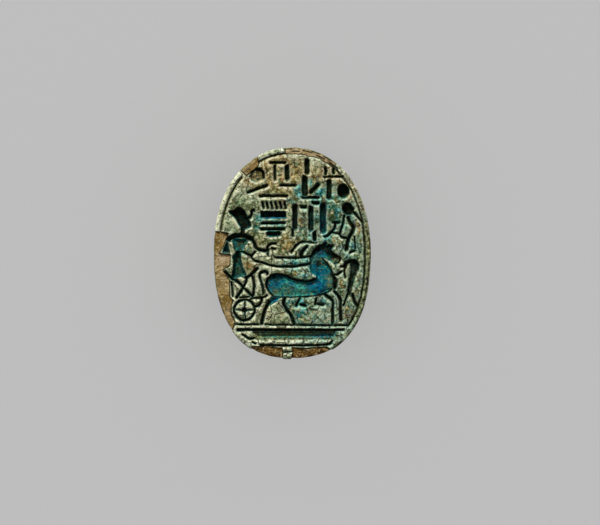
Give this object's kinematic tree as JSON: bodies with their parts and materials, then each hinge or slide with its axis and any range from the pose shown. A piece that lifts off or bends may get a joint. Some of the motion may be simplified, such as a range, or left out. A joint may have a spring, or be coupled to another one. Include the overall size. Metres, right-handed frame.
{
  "type": "scarab amulet",
  "caption": "Oval beetle-shaped amulet of glazed stone, pierced lengthwise, with a sunk seal design of a driver, chariot and horse on its flat base.",
  "frame": {"origin": "on the surface it lies on, under the middle of its length and width", "axes": "+Z out of the carved base, which faces up; +Y towards the beetle's head; +X to the right of the seal design"},
  "size_m": [0.015, 0.0202, 0.0087],
  "materials": {
    "glazed_steatite": "worn pale green glaze over carved steatite, turquoise to deep blue where it pooled in the cuts, brown bare stone in the chips"
  },
  "bodies": {
    "root": {"scarab": "glazed_steatite"}
  },
  "joints": []
}
